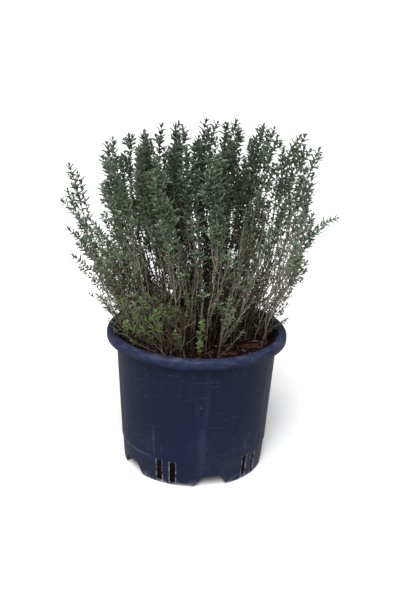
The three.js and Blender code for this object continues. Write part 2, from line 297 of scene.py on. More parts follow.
# Each dried drip: its side and its width in degrees, the heights of its lower and upper end in
# millimetres, and how pale it is
DRIPS = [
    (-31, 2.6, 30, 66, 0.55),
    (-24, 1.6, 34, 52, 0.30),
    (-66, 4.0, 32, 120, 0.35),
    (-48, 1.4, 60, 96, 0.20),
    (44, 2.2, 28, 58, 0.30),
    (63, 4.5, 40, 125, 0.35),
    (128, 3.0, 36, 90, 0.40),
    (-150, 2.4, 30, 74, 0.45),
]
DRIP_FOOT = 6
DRIP_HEAD = 12
BLOTCH_TURN = 7
BLOTCH_SCALE = 260
# How far down from the top the rim's wear and painted highlight reach, and where they are full
RIM_RUB_AND_HIGHLIGHT_DEEP = 9 * MM
RIM_RUB_AND_HIGHLIGHT_FULL = 1.5 * MM
# How far above the step the painted highlight along it sits
STEP_HIGHLIGHT_ABOVE = 0.8 * MM
DRY_SOIL = rgb(0.10, 0.075, 0.060)


def arc(centre, across, up, start, end, steps):
    """Points on part of an ellipse, by angles in degrees from outwards towards up."""
    turns = [math.radians(start + (end - start) * i / steps) for i in range(steps + 1)]
    return [(centre[0] + across * math.cos(t), centre[1] + up * math.sin(t)) for t in turns]


def inner_radius(height):
    share = (height - POT_FLOOR) / (POT_HEIGHT - LIP_DROP - POT_FLOOR)
    return BASE_RADIUS - WALL + share * (BODY_TOP_RADIUS - BASE_RADIUS)


def skirt_outline():
    foot = arc((BASE_RADIUS - FOOT_ROUND, FOOT_ROUND), FOOT_ROUND, FOOT_ROUND, -90, 0, 3)
    return [(0, 0), *foot, (BASE_RADIUS + SKIRT_FLARE, SKIRT_HEIGHT)]


def cup_outline():
    lip_edge = POT_HEIGHT - LIP_DROP
    lip_inner = RIM_RADIUS - LIP_THICKNESS
    hem_half = LIP_THICKNESS / 2
    crown = (RIM_RADIUS - ROLL_WIDTH, POT_HEIGHT - ROLL_WIDTH)
    roll_inner = (RIM_RADIUS - ROLL_INSET, POT_HEIGHT - ROLL_INNER_DROP)
    return [
        *skirt_outline(),
        *arc((BASE_RADIUS + SKIRT_FLARE, SKIRT_HEIGHT + STEP_ROUND), STEP_ROUND, STEP_ROUND, -60, 30, 3),
        (BODY_TOP_RADIUS, lip_edge - NECK_DROP),
        *arc((BODY_TOP_RADIUS + NECK_ROUND, lip_edge + NECK_RISE), NECK_ROUND, NECK_ROUND, 180, 100, 4),
        (lip_inner - WALL, POT_HEIGHT - ROLL_UNDER),
        (lip_inner, lip_edge + HEM_EDGE),
        *arc((lip_inner + hem_half, lip_edge + HEM_ROUND), hem_half, HEM_ROUND, 200, 360, 5),
        *arc(crown, ROLL_WIDTH, ROLL_WIDTH, 0, 90, 8),
        *arc(roll_inner, ROLL_INNER_WIDTH, ROLL_INNER_DROP, 100, 180, 6),
        (inner_radius(lip_edge), lip_edge),
        (inner_radius(POT_FLOOR) + 0.1 * MM, POT_FLOOR + FLOOR_CORNER),
        (inner_radius(POT_FLOOR) - FLOOR_CORNER, POT_FLOOR),
        (0, POT_FLOOR),
    ]


def spun(outline, sides):
    """A closed solid of revolution, whose outline starts and ends on the pot's axis."""
    made = bmesh.new()
    spots = [made.verts.new((radius, 0, height)) for radius, height in outline]
    edges = [made.edges.new(pair) for pair in zip(spots, spots[1:])]
    bmesh.ops.spin(made, geom=spots + edges, axis=(0, 0, 1), cent=(0, 0, 0),
                   angle=math.tau, steps=sides, use_merge=True)
    bmesh.ops.remove_doubles(made, verts=made.verts, dist=0.005 * MM)
    bmesh.ops.recalc_face_normals(made, faces=made.faces)
    return made


def ease_curve(start, start_pull, end_pull, end, steps):
    """Points on a curve that leaves and arrives along its two pulls, without its first point."""
    points = []
    for i in range(1, steps + 1):
        t = i / steps
        weights = ((1 - t) ** 3, 3 * t * (1 - t) ** 2, 3 * t * t * (1 - t), t ** 3)
        corners = (start, start_pull, end_pull, end)
        points.append(tuple(sum(w * c[k] for w, c in zip(weights, corners)) for k in (0, 1)))
    return points


def arch_into(target, grow, start, end, below, angle):
    """Adds a radial arch with a flat top, whose sides ease out into the feet."""
    flat = NOTCH_FLAT / 2 + grow * 0.6
    foot = NOTCH_WIDTH / 2 + grow
    top = NOTCH_HEIGHT + grow
    ease = (foot - flat) * 0.45
    side = [(foot, 0), *ease_curve((foot, 0), (foot - ease, top * 0.2), (flat + ease, top), (flat, top), 8)]
    outline = [(foot, -below), *side] if below else side
    outline += [(-x, z) for x, z in reversed(outline)]
    turn = Matrix.Rotation(math.radians(angle), 4, "Z")
    spots = [target.verts.new(turn @ Vector((x, -start, z))) for x, z in outline]
    face = target.faces.new(spots)
    made = bmesh.ops.extrude_face_region(target, geom=[face])["geom"]
    far = [v for v in made if isinstance(v, bmesh.types.BMVert)]
    bmesh.ops.translate(target, vec=turn @ Vector((0, start - end, 0)), verts=far)


def slot_into(target, angle):
    size = Matrix.Diagonal((SLOT_WIDTH, SLOT_DEPTH, SLOT_TOP - SLOT_BOTTOM, 1))
    shift = Matrix.Translation((0, -BASE_RADIUS, (SLOT_TOP + SLOT_BOTTOM) / 2))
    turn = Matrix.Rotation(math.radians(angle), 4, "Z")
    bmesh.ops.create_cube(target, size=1, matrix=turn @ shift @ size)


def combined(body, tool, operation):
    """The body with the tool cut out of it, joined to it or shared with it."""
    bmesh.ops.recalc_face_normals(tool, faces=tool.faces)
    first = piece_from("body", body, [])
    second = piece_from("tool", tool, [])
    change = first.modifiers.new("combine", "BOOLEAN")
    change.object = second
    change.operation = operation
    change.solver = "MANIFOLD"
    seen = first.evaluated_get(bpy.context.evaluated_depsgraph_get())
    result = bmesh.new()
    result.from_mesh(seen.to_mesh())
    seen.to_mesh_clear()
    for used in (first, second):
        mesh = used.data
        bpy.data.objects.remove(used)
        bpy.data.meshes.remove(mesh)
    return result


def sharpen(made, angle):
    """Smooth shading, with a crease where faces meet at more than this angle in degrees."""
    made.data.shade_smooth()
    made.data.set_sharp_from_angle(angle=math.radians(angle))


notch_angles = [FIRST_NOTCH + i * PITCH for i in range(FEET)]

shells = bmesh.new()
openings = bmesh.new()
for notch_angle in notch_angles:
    arch_into(shells, WALL, CHANNEL_INNER_RADIUS - WALL, BASE_RADIUS + CUT_PAST / 2, below=0,
              angle=notch_angle)
    arch_into(openings, 0, CHANNEL_INNER_RADIUS, BASE_RADIUS + CUT_PAST, below=2 * MM, angle=notch_angle)
    slot_into(openings, notch_angle + PITCH / 2 - SLOT_TURN)
    slot_into(openings, notch_angle + PITCH / 2 + SLOT_TURN)
skirt = spun([*skirt_outline(), (0, SKIRT_HEIGHT)], POT_SIDES)
channels = combined(skirt, shells, "INTERSECT")
pot_mesh = combined(spun(cup_outline(), POT_SIDES), channels, "UNION")
pot_mesh = combined(pot_mesh, openings, "DIFFERENCE")

plastic = Finish("scuffed_pot_plastic", Specular_IOR_Level=0.11)
pot_x, pot_y, pot_z = plastic.coordinates()
from_axis = plastic.from_axis()
side = pot_x.maths("ARCTAN2", pot_x, -1 * pot_y) * (180 / math.pi)
cloud = plastic.grain(28, detail=4)
speckle = plastic.grain(900, detail=2)
streak = plastic.grain(95, stretch=(1, 1, 0.07), detail=4, rough=0.6).fade(0.52, 0.72)
fleck = plastic.grain(420, stretch=(1, 1, 0.6), detail=2).fade(0.70, 0.76)
scratch = plastic.grain(260, stretch=(0.25, 0.25, 2.2), detail=2).fade(0.63, 0.70)
patch = plastic.grain(16, detail=4).fade(0.45, 0.65)
# The rim is worn and carries a painted highlight, in blotches drawn out round it, each of about seven
# degrees
blotch_place = {0: side / BLOTCH_TURN, 1: pot_z * BLOTCH_SCALE, 2: from_axis * BLOTCH_SCALE}
round_rim = plastic.node("ShaderNodeCombineXYZ", inputs=blotch_place)
blotch_noise_settings = {"Vector": round_rim, "Scale": 1.0, "Detail": 4.0, "Roughness": 0.65}
rim_sheen_and_rub_blotch = plastic.node("ShaderNodeTexNoise", inputs=blotch_noise_settings, output="Fac").fade(0.40, 0.68)
# Wear and painted highlight: the top of the rim is paler all round, and paler still in the blotches
rim_rub_and_highlight = pot_z.fade(POT_HEIGHT - RIM_RUB_AND_HIGHLIGHT_DEEP, POT_HEIGHT - RIM_RUB_AND_HIGHLIGHT_FULL)
rim_rub_and_highlight *= 0.24 + 0.4 * rim_sheen_and_rub_blotch * cloud.fade(0.3, 0.6)
# Painted highlight: a pale line along the skirt's step, strongest at the left
step_highlight = 1 - (pot_z - (SKIRT_HEIGHT + STEP_HIGHLIGHT_ABOVE)).absolute().fade(0.2 * MM, 1.4 * MM)
step_highlight *= 0.03 + 0.75 * side.fade(-22, -34) * plastic.grain(60, detail=3).fade(0.36, 0.58)
drips = 0
for middle, width, low, high, paleness in DRIPS:
    near = 1 - (side - middle).absolute().fade(0.2 * width, 0.6 * width)
    ends = pot_z.fade(low * MM, (low + DRIP_FOOT) * MM)
    ends *= 1 - pot_z.fade((high - DRIP_HEAD) * MM, high * MM)
    drips += near * ends * paleness
drips *= plastic.grain(190, stretch=(1, 1, 0.25), detail=3).fade(0.30, 0.62)
foot_dirt = (1 - pot_z.fade(0.5 * MM, 9 * MM)) * plastic.grain(140, detail=4).fade(0.42, 0.62)
lower_dust = (1 - pot_z.fade(26 * MM, 75 * MM)) * patch * speckle
angle = side - FIRST_NOTCH - PITCH / 2
from_pair = (angle.maths("WRAP", angle, PITCH / 2, -PITCH / 2).absolute() - SLOT_TURN).absolute()
slot_half = math.degrees(SLOT_WIDTH / 2 / BASE_RADIUS)
by_slot = 1 - (from_pair - slot_half).absolute().fade(0.3, 1.1)
by_slot *= 1 - pot_z.fade(SLOT_TOP, SLOT_TOP + 1.5 * MM)
slot_wear = by_slot * plastic.grain(180, detail=3).fade(0.40, 0.62)
foot_edge = (1 - pot_z.fade(1.2 * MM, 3 * MM)) * plastic.grain(75, detail=3).fade(0.42, 0.58)
# Real scuffs, scratches and drips, with the painted highlights of the rim and the step
wear_and_highlight = (0.3 * streak * patch + 0.45 * scratch * patch + rim_rub_and_highlight + 0.5 * step_highlight + 0.9 * drips).fade(0, 1)
# Real dust and dirt, with more of the painted highlights of the step and the rim
dust_and_highlight = 0.25 * fleck * patch + 0.04 * lower_dust + 0.3 * foot_dirt + 0.6 * slot_wear + 0.9 * foot_edge
dust_and_highlight = (dust_and_highlight + 0.22 * step_highlight * side.fade(-30, -45) + 0.16 * rim_rub_and_highlight * rim_sheen_and_rub_blotch).fade(0, 1)
colour = plastic.blend(0.65 * cloud + 0.35 * speckle, NAVY_DARK, NAVY_LIGHT)
colour = plastic.blend(wear_and_highlight, colour, NAVY_SCUFF_AND_HIGHLIGHT)
colour = plastic.blend(dust_and_highlight, colour, DUST_AND_HIGHLIGHT_GREY)
taper = (BODY_TOP_RADIUS - BASE_RADIUS) / (POT_HEIGHT - LIP_DROP)
middle_of_wall = (BASE_RADIUS - WALL / 2) + pot_z * taper
inner_face = 1 - (from_axis - middle_of_wall).fade(-0.4 * MM, 0.4 * MM)
colour = plastic.blend(0.5 * inner_face * cloud, colour, DRY_SOIL)
texture = plastic.bump(speckle, 0.06 * MM, 0.6)
texture = plastic.bump(plastic.grain(60, stretch=(1, 1, 0.2)), 0.35 * MM, 0.5, below=texture)
pot_finish = plastic.feed(Base_Color=colour, Roughness=0.5 + 0.2 * cloud + 0.2 * dust_and_highlight, Normal=texture)

pot = piece_from("pot_moulding", pot_mesh, [pot_finish])
rounding = pot.modifiers.new("rounded edges", "BEVEL")
rounding.width = EDGE_ROUND
rounding.segments = 2
rounding.limit_method = "ANGLE"
rounding.angle_limit = math.radians(ROUNDED_FROM)
sharpen(pot, angle=38)
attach(pot, "root")
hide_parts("pot")

# The soil is moist dark potting mix that fills the pot, with a lumpy top.
# It is pressed round the five drainage channels and shows as dark fill behind the slots.

GAP = 0.3 * MM
SOIL_LEVEL = POT_HEIGHT - 12 * MM
SOIL_RELIEF = 1.5
SWELL_LENGTHS = (9, 12)
SMALL_LUMPS = 0.8
LUMP_LENGTH = 6
CLOD_HEIGHT = 1.9 * MM
CLOD_SPACING = 7 * MM
SOIL_EDGE = 4 * MM
SOIL_RINGS = 44
SOIL_SIDES = 120

PEAT_DARK = rgb(0.0010, 0.0007, 0.0006)
PEAT_BROWN = rgb(0.0075, 0.0040, 0.0028)
BARK_RED = rgb(0.045, 0.017, 0.011)
GRIT_PALE = rgb(0.12, 0.095, 0.08)


def soil_top(x, y):
    """The height of the soil's surface at a place, in metres."""
    across, along = x / MM, y / MM
    swell = SOIL_RELIEF * math.sin(across / SWELL_LENGTHS[0] + 0.6) * math.cos(along / SWELL_LENGTHS[1])
    swell += SMALL_LUMPS * math.sin((across + along) / LUMP_LENGTH)
    return SOIL_LEVEL + swell * MM


def clods(x, y):
    """How far the clods rise above the surface at a place, in metres."""
    spot = Vector((x, y, 0)) / CLOD_SPACING
    return CLOD_HEIGHT * (noise.fractal(spot, 0.7, 2.1, 4) + 0.1)


soil_wall = inner_radius(SOIL_LEVEL - 2 * SOIL_RELIEF * MM) - GAP
soil_foot = inner_radius(POT_FLOOR + GAP) - GAP
top_rings = [(soil_wall * (1 - i / SOIL_RINGS), SOIL_LEVEL) for i in range(SOIL_RINGS + 1)]
soil_low = POT_FLOOR + GAP
soil_sides = [(soil_foot + (soil_wall - soil_foot) * share, soil_low + (SOIL_LEVEL - POT_FLOOR) * share)
              for share in (0, 0.35, 0.7)]
soil_mesh = spun([(0, soil_low), *soil_sides, *top_rings], SOIL_SIDES)
for spot in soil_mesh.verts:
    if spot.co.z > SOIL_LEVEL - MM:
        edge = min(1, (soil_wall - spot.co.xy.length) / SOIL_EDGE)
        spot.co.z = soil_top(spot.co.x, spot.co.y) + clods(spot.co.x, spot.co.y) * max(edge, 0)
beds = bmesh.new()
clear = WALL + 3 * GAP
for notch_angle in notch_angles:
    arch_into(beds, clear, CHANNEL_INNER_RADIUS - clear, BASE_RADIUS + CUT_PAST, below=5 * MM,
              angle=notch_angle)
soil_mesh = combined(soil_mesh, beds, "DIFFERENCE")

peat = Finish("moist_potting_mix", Specular_IOR_Level=0.08)
crumb = peat.cells(420)
fine = peat.grain(700, detail=4)
soft = peat.grain(55, detail=3)
colour = peat.blend(fine.fade(0.3, 0.75), PEAT_DARK, PEAT_BROWN)
colour = peat.blend(crumb.fade(0.86, 0.9) * soft.fade(0.35, 0.6), colour, BARK_RED)
colour = peat.blend(peat.grain(1500, detail=1).fade(0.74, 0.78), colour, GRIT_PALE)
texture = peat.bump(fine, 1.2 * MM, 0.9)
texture = peat.bump(crumb, 0.8 * MM, 0.6, below=texture)
peat_finish = peat.feed(Base_Color=colour, Roughness=0.78 + 0.2 * fine, Normal=texture)

soil = piece_from("potting_mix", soil_mesh, [peat_finish])
soil.data.shade_smooth()
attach(soil, "root")
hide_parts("soil")

# Four larger chips of pine bark lie half sunk in the soil.
# Each is a flat flake that split off in layers, with rough ends and rounded corners.

BARK_DARK = rgb(0.030, 0.012, 0.008)
BARK_PALE = rgb(0.18, 0.09, 0.055)
CORNERS_IN = 0.16
FLAKE_THICKNESS = 0.72
FLAKE_ROUGH = (0.22, 0.28, 0.15)
# A chip's length and thickness in shares of its solid's, and its width as a share of its length
CHIP_LENGTH = 0.92
CHIP_THICKNESS = 0.82
CHIP_WIDTH = 0.58
# Each chip: the name of its solid, and the turn of its long side in degrees
CHIPS = [("bark_chip_01", 20), ("bark_chip_02", -35), ("bark_chip_03", -15), ("bark_chip_04", 35)]

# Every noise vector below follows from this seed, so that each run gives the same piece
noise.seed_set(3)

bark = Finish("pine_bark", Specular_IOR_Level=0.12)
fibre = bark.grain(260, stretch=(1, 0.3, 3), detail=4)
layer = bark.grain(90, stretch=(0.6, 0.6, 4), detail=3)
colour = bark.blend(fibre.fade(0.3, 0.7), BARK_DARK, BARK_RED)
colour = bark.blend(layer.fade(0.58, 0.72) * 0.7, colour, BARK_PALE)
texture = bark.bump(fibre, 0.8 * MM, 0.9)
bark_finish = bark.feed(Base_Color=colour, Roughness=0.75 + 0.2 * fibre, Normal=texture)


def laid(place, turn, lean):
    """A matrix that tips a piece over, turns it and sets it in its place."""
    spin = Matrix.Rotation(turn, 4, "Z") @ Matrix.Rotation(lean, 4, "X")
    return Matrix.Translation(place) @ spin


def flake_into(target, place, half, turn, lean, seed, cuts):
    """Adds an uneven flake with its corners drawn in and its faces pitted."""
    others = set(target.verts)
    made = bmesh.ops.create_cube(target, size=2)["verts"]
    edges = list({edge for spot in made for edge in spot.link_edges})
    if cuts:
        bmesh.ops.subdivide_edges(target, edges=edges, cuts=cuts, use_grid_fill=True)
    spots = [spot for spot in target.verts if spot not in others]
    size = Vector(half)
    for spot in spots:
        rough = noise.noise_vector(spot.co * 0.9 + Vector((seed, 2.3 * seed, 0)))
        draw_in = 1 - CORNERS_IN * (spot.co.x ** 2 * spot.co.y ** 2)
        step = round(3 * noise.noise(spot.co * 1.3 + Vector((0, seed, 0)))) / 6
        spot.co = Vector((spot.co.x * draw_in + FLAKE_ROUGH[0] * rough.x,
                          spot.co.y * draw_in + FLAKE_ROUGH[1] * rough.y,
                          spot.co.z * (FLAKE_THICKNESS + step) + FLAKE_ROUGH[2] * rough.z)) * size
    bmesh.ops.transform(target, matrix=laid(place, turn, lean), verts=spots)


for number, (chip, chip_turn) in enumerate(CHIPS):
    low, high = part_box(chip)
    middle = (low + high) / 2
    reach = (high - low) / 2
    long_half = max(reach.x, reach.y) * CHIP_LENGTH
    half = (long_half, long_half * CHIP_WIDTH, reach.z * CHIP_THICKNESS)
    chip_mesh = bmesh.new()
    flake_into(chip_mesh, middle, half, math.radians(chip_turn), 0.05, 3.1 * number + 1, 4)
    flake = piece_from(chip + "_flake", chip_mesh, [bark_finish])
    sharpen(flake, angle=50)
    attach(flake, "root")
    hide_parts(chip)

# Loose bits lie all over the soil: crumbs of peat, small bark fines, dry roots and fallen stalks.
# Nothing holds them but their weight.

CRUMBS = 420
FINES = 260
FIBRES = 60
LITTER_RADIUS = 79 * MM
CRUMB_SIZES = (0.8, 2.6)
PIT_SPACING = 1.7 * MM
PIT_DEPTH = 0.35
# Half the length, width and thickness of a bark fine, each from its least to its most in millimetres
FINE_HALVES = [(1.2, 3.6), (0.7, 1.8), (0.3, 0.7)]
FIBRE_STEPS = (1.2, 4.5)
FIBRE_RADII = (0.16, 0.36)
FIBRE_TAPER = [1, 1, 0.9, 0.8, 0.5]

scatter = random.Random(41)


def litter_spot():
    """A random place on the soil and the height of the surface there."""
    radius = LITTER_RADIUS * math.sqrt(scatter.random())
    angle = scatter.uniform(0, math.tau)
    x, y = radius * math.cos(angle), radius * math.sin(angle)
    return Vector((x, y, soil_top(x, y) + clods(x, y)))


crumb_mesh = bmesh.new()
for _ in range(CRUMBS):
    size = scatter.uniform(*CRUMB_SIZES) * MM
    stretch = Vector((size * scatter.uniform(0.8, 1.4), size, size * scatter.uniform(0.6, 0.9)))
    turn = scatter.uniform(0, math.tau)
    lean = scatter.uniform(0, 1)
    shape = laid(litter_spot(), turn, lean) @ Matrix.Diagonal((*stretch, 1))
    bmesh.ops.create_icosphere(crumb_mesh, subdivisions=1, radius=1, matrix=shape)
for spot in crumb_mesh.verts:
    spot.co += noise.noise_vector(spot.co / PIT_SPACING) * PIT_DEPTH * MM
crumbs = piece_from("peat_crumbs", crumb_mesh, [peat_finish])
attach(crumbs, "root")

fines_mesh = bmesh.new()
for number in range(FINES):
    half = Vector([scatter.uniform(*sizes) for sizes in FINE_HALVES]) * MM
    spot = litter_spot() + Vector((0, 0, 0.3 * MM))
    flake_into(fines_mesh, spot, half, scatter.uniform(0, math.tau), scatter.uniform(-0.5, 0.5), number, 0)
fines = piece_from("bark_fines", fines_mesh, [bark_finish])
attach(fines, "root")

DRY_BROWN = rgb(0.060, 0.038, 0.027)
DRY_PALE = rgb(0.23, 0.175, 0.135)
dry = Finish("dry_stalk", Specular_IOR_Level=0.25)
ring_mark = dry.grain(500, detail=3)
colour = dry.blend(ring_mark.fade(0.3, 0.7), DRY_BROWN, DRY_PALE)
texture = dry.bump(ring_mark, 0.2 * MM)
dry_finish = dry.feed(Base_Color=colour, Roughness=0.7 + 0.2 * ring_mark, Normal=texture)


def square_to(along):
    """A direction square to a line and to the view from the front."""
    return Vector((0, 1, 0)).cross(along).normalized()


def upright(along):
    """A turn whose third axis runs along a direction."""
    side = square_to(along)
    return Matrix((side, along.cross(side), along)).transposed().to_4x4()


def tube_into(target, spots, radii, sides):
    """Adds a closed tube through spots, with a radius at each of them."""
    turns = []
    for i in range(len(spots)):
        along = (spots[min(i + 1, len(spots) - 1)] - spots[max(i - 1, 0)]).normalized()
        turns.append(Matrix.Translation(spots[i]) @ upright(along))
    shapes = [turn @ Matrix.Diagonal((radius, radius, radius, 1)) for turn, radius in zip(turns, radii)]
    foot = bmesh.ops.create_circle(target, cap_ends=True, segments=sides, radius=1, matrix=shapes[0])
    ring = foot["verts"]
    edges = list(ring[0].link_faces[0].edges)
    all_spots = list(ring)
    for before, after in zip(shapes, shapes[1:]):
        made = bmesh.ops.extrude_edge_only(target, edges=edges)["geom"]
        ring = [item for item in made if isinstance(item, bmesh.types.BMVert)]
        edges = [item for item in made if isinstance(item, bmesh.types.BMEdge)]
        edges = [edge for edge in edges if edge.verts[0] in ring and edge.verts[1] in ring]
        bmesh.ops.transform(target, matrix=after @ before.inverted(), verts=ring)
        all_spots += ring
    bmesh.ops.edgeloop_fill(target, edges=edges)
    faces = list({face for spot in all_spots for face in spot.link_faces})
    bmesh.ops.recalc_face_normals(target, faces=faces)
    return faces


fibre_mesh = bmesh.new()
for _ in range(FIBRES):
    start = litter_spot()
    heading = scatter.uniform(0, math.tau)
    bend = scatter.uniform(-0.5, 0.5)
    step = scatter.uniform(*FIBRE_STEPS) * MM
    spots = [start]
    for _ in FIBRE_TAPER[1:]:
        heading += bend
        ahead = spots[-1] + Vector((math.cos(heading), math.sin(heading), 0)) * step
        ahead.xy *= min(1, LITTER_RADIUS / ahead.xy.length)
        ahead.z = soil_top(ahead.x, ahead.y) + clods(ahead.x, ahead.y) + 0.6 * MM
        spots.append(ahead)
    thick = scatter.uniform(*FIBRE_RADII) * MM
    tube_into(fibre_mesh, spots, [thick * share for share in FIBRE_TAPER], 4)
fibres = piece_from("dry_roots_and_stalks", fibre_mesh, [dry_finish])
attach(fibres, "root")

# Thyme stems: thin woody stems that rise close together and fan out. Each forks low down, is bare
# and brown below, and carries small narrow leaves in opposite pairs above, each pair square to the
# last, with tufts of young leaves where they join the stem and short side shoots between them.

# The plant's lengths are in millimetres where MM isn't named, and its heights are above the soil
PLANT_HEIGHT = 220
TALL_PLACES = 34
TALL_RADIUS = 60
TALL_SHIFT = 3
TALL_LEAN = Vector((0, 0, 2.5))
SOLID_RADII = (1.5, 2)
FINER = 0.42
SHOULDER_DROP = 22
RIGHT_LIFT = 4
UNEVEN_TOP = 20
BARE_FROM = 22
BARE_TO = 74
BARE_RADIUS = 36
GOLDEN_ANGLE = 137.508
SPREAD = 1.05
SPREAD_POWER = 1.1
SWAY = 6
SWAY_RISE = 34
SWAY_SPACING = 42
STRAIGHT_FOOT = 4
STEM_FOOT = 12
FORK_OFFSET = 5.2
FORK_BEND = 16
FORK_RADIUS = 0.55
BRANCH_RADIUS = 0.42
BRANCH_LENGTHS = (40, 100)
BRANCH_AWAY = (7, 24)
TIP_RADIUS = 0.28
RING_SPACING = 9
BEND_SPACING = 26
BEND_REACH = 3.2
KINK_SPACING = 9
KINK_REACH = 0.9
BENDS_FULL = 30
LEAN_POWER = 1.4
ROOM = 2.5 * MM
LEAF_PAST = 3.5 * MM

CROWN = 60 * MM
OPENING = math.radians(50)
JOINT_SPACING = (4.4, 6.2)
TIP_CLEAR = 6.5 * MM
SHOOT_LENGTH = 7
SHOOT_EXTRA = 13
SHOOT_BELOW_TIP = 12
SHOOT_RADII = [0.42 * MM, 0.4 * MM, 0.34 * MM, 0.22 * MM]
SHOOT_PAIR_SPACING = 4
# The pairs of leaves at a tip: how far each pair opens in degrees, its share of a leaf's length, and
# how far below the tip it stands
STAR = [(54, 1.0, 4.8), (45, 0.92, 2.6), (32, 0.78, 1.0), (14, 0.55, 0)]
# Each section of a blade: how far out, half width, and how far it bends down, in lengths of the blade
BLADE = [(0.0, 0.01, 0.0), (0.3, 0.15, -0.03), (0.7, 0.165, 0.0), (1.0, 0.01, 0.08)]
SMALL_BLADE = [(0.0, 0.01, 0.0), (0.55, 0.19, -0.03), (1.0, 0.01, 0.03)]
# The height of a blade's groove, edges and keel in half widths
GROOVE = 0
EDGES = 0.25
KEEL = -0.5
LEAF_TONES = [0, 0.15, 0.4, 0.7, 1]

# The plant's outside where it meets the soil and how fast it widens with height, for the painted shade
# within
SHADE_RADIUS = 55 * MM
SHADE_FLARE = 0.32
GREEN_DEEP = rgb(0.010, 0.038, 0.017)
GREEN_DARK = rgb(0.014, 0.034, 0.015)
GREEN_BLUE = rgb(0.168, 0.275, 0.160)
GREEN_MOSS = rgb(0.088, 0.085, 0.038)
GREEN_PALE = rgb(0.42, 0.47, 0.39)
LEAF_SHADE = rgb(0.005, 0.012, 0.006)
STEM_BROWN = rgb(0.095, 0.066, 0.050)
STEM_GREY = rgb(0.300, 0.240, 0.200)
STEM_GREEN = rgb(0.125, 0.135, 0.075)
# Dark old wood, and the colour of the painted shade deep in the plant
DARK_WOOD_AND_SHADE = rgb(0.030, 0.019, 0.014)


def risen(finish, low, high):
    """0 below one height above the soil and 1 above another, in millimetres."""
    return finish.coordinates()[2].fade(SOIL_LEVEL + low * MM, SOIL_LEVEL + high * MM)


def depth_in(finish):
    """1 in the plant's middle and 0 at its outside, for the painted shade on what grows deep between the
    stems.
    """
    outside = SHADE_RADIUS + SHADE_FLARE * (finish.coordinates()[2] - SOIL_LEVEL)
    covered = 1 - 0.6 * risen(finish, 130, 205)
    return covered * (1 - (finish.from_axis() / outside).fade(0.3, 0.92))


def leaf_finish(name, dark, light, low):
    """Narrow leaves: deep green above with a paler midrib, pale and felted beneath, and darkened by painted
    shade near the soil, deep in the plant and at the foot of each leaf.
    """
    leaf = Finish(name, Specular_IOR_Level=0.26)
    parts = {0: leaf.attribute("leaf", output="Color")}
    along, above, beneath = [leaf.node("ShaderNodeSeparateColor", inputs=parts, output=i) for i in range(3)]
    rise = risen(leaf, 0, 120)
    tone = 0.75 * leaf.attribute("leaf", output="Alpha") + 0.25 * leaf.grain(170, detail=2).fade(0.32, 0.68)
    colour = leaf.blend(tone, dark, light)
    colour = leaf.blend((1 - rise) * (0.55 + 0.45 * leaf.grain(40).fade(0.35, 0.65)), colour, low)
    colour = leaf.blend(0.5 * risen(leaf, 90, 180), colour, GREEN_DEEP)
    mossy = leaf.grain(24, stretch=(1, 1, 0.35), detail=2).fade(0.45, 0.62)
    colour = leaf.blend(0.4 * mossy, colour, low)
    # Painted shade: leaves near the soil are darker in patches
    shade_near_soil = (1 - risen(leaf, 10, 60)) * leaf.grain(75, detail=2).fade(0.38, 0.56)
    colour = leaf.blend(0.88 * shade_near_soil, colour, LEAF_SHADE)
    felt = 0.3 + 0.7 * rise
    colour = leaf.blend(0.35 * felt * above * (1 - along), colour, GREEN_PALE)
    colour = leaf.blend(0.55 * felt * beneath * along, colour, GREEN_PALE)
    # Painted shade: deep in the plant, and at the foot of each leaf where it meets the stem
    shade = 0.85 * depth_in(leaf) + (1 - along.fade(0, 0.6)) * 0.3
    colour = leaf.blend(shade.fade(0, 1), colour, LEAF_SHADE)
    dots = leaf.bump(leaf.grain(2600, detail=1), 0.08 * MM, 0.6)
    return leaf.feed(Base_Color=colour, Roughness=0.40 + 0.25 * tone, Normal=dots)


def stem_finish(name, low, middle, tip):
    """Flaky bark that is darkest near the soil, greener towards the tip, and darker deep in the plant by
    painted shade.
    """
    wood = Finish(name, Specular_IOR_Level=0.2)
    flaky = wood.grain(700, stretch=(1, 1, 0.2), detail=3)
    colour = wood.blend(flaky.fade(0.35, 0.65), low, middle)
    colour = wood.blend(risen(wood, 100, 180), colour, tip)
    colour = wood.blend(0.8 - 0.8 * risen(wood, 5, 65), colour, DARK_WOOD_AND_SHADE)
    # Painted shade: wood deep in the plant is darker
    colour = wood.blend(0.7 * depth_in(wood), colour, DARK_WOOD_AND_SHADE)
    texture = wood.bump(flaky, 0.25 * MM, 0.8)
    return wood.feed(Base_Color=colour, Roughness=0.62 + 0.25 * flaky, Normal=texture)


def leaf_template(sections, tone):
    """A blade one unit long: a flat four-sided tube, grooved above and keeled beneath. Its attribute says
    how far out each corner is, whether it is on top or beneath, and the leaf's tone."""
    made = bmesh.new()
    note = made.verts.layers.float_color.new("leaf")
    tube_into(made, [Vector((0, 0, out)) for out, _, _ in sections], [half for _, half, _ in sections], 4)
    laid_out = Matrix(((0, 0, 1, 0), (0, 1, 0, 0), (-1, 0, 0, 0), (0, 0, 0, 1)))
    bmesh.ops.transform(made, matrix=laid_out, verts=made.verts)
    for spot in made.verts:
        along, half, sag = min(sections, key=lambda section: abs(section[0] - spot.co.x))
        above = spot.co.z > half / 2
        beneath = spot.co.z < -half / 2
        spot[note] = (along, float(above), float(beneath), tone)
        spot.co.z = half * (GROOVE if above else KEEL if beneath else EDGES) - sag
    bmesh.ops.remove_doubles(made, verts=made.verts, dist=0.03)
    bmesh.ops.recalc_face_normals(made, faces=made.faces)
    mesh = bpy.data.meshes.new("leaf_template")
    made.to_mesh(mesh)
    made.free()
    return mesh


blades = [leaf_template(BLADE, tone) for tone in LEAF_TONES]
small_blades = [leaf_template(SMALL_BLADE, tone) for tone in LEAF_TONES]
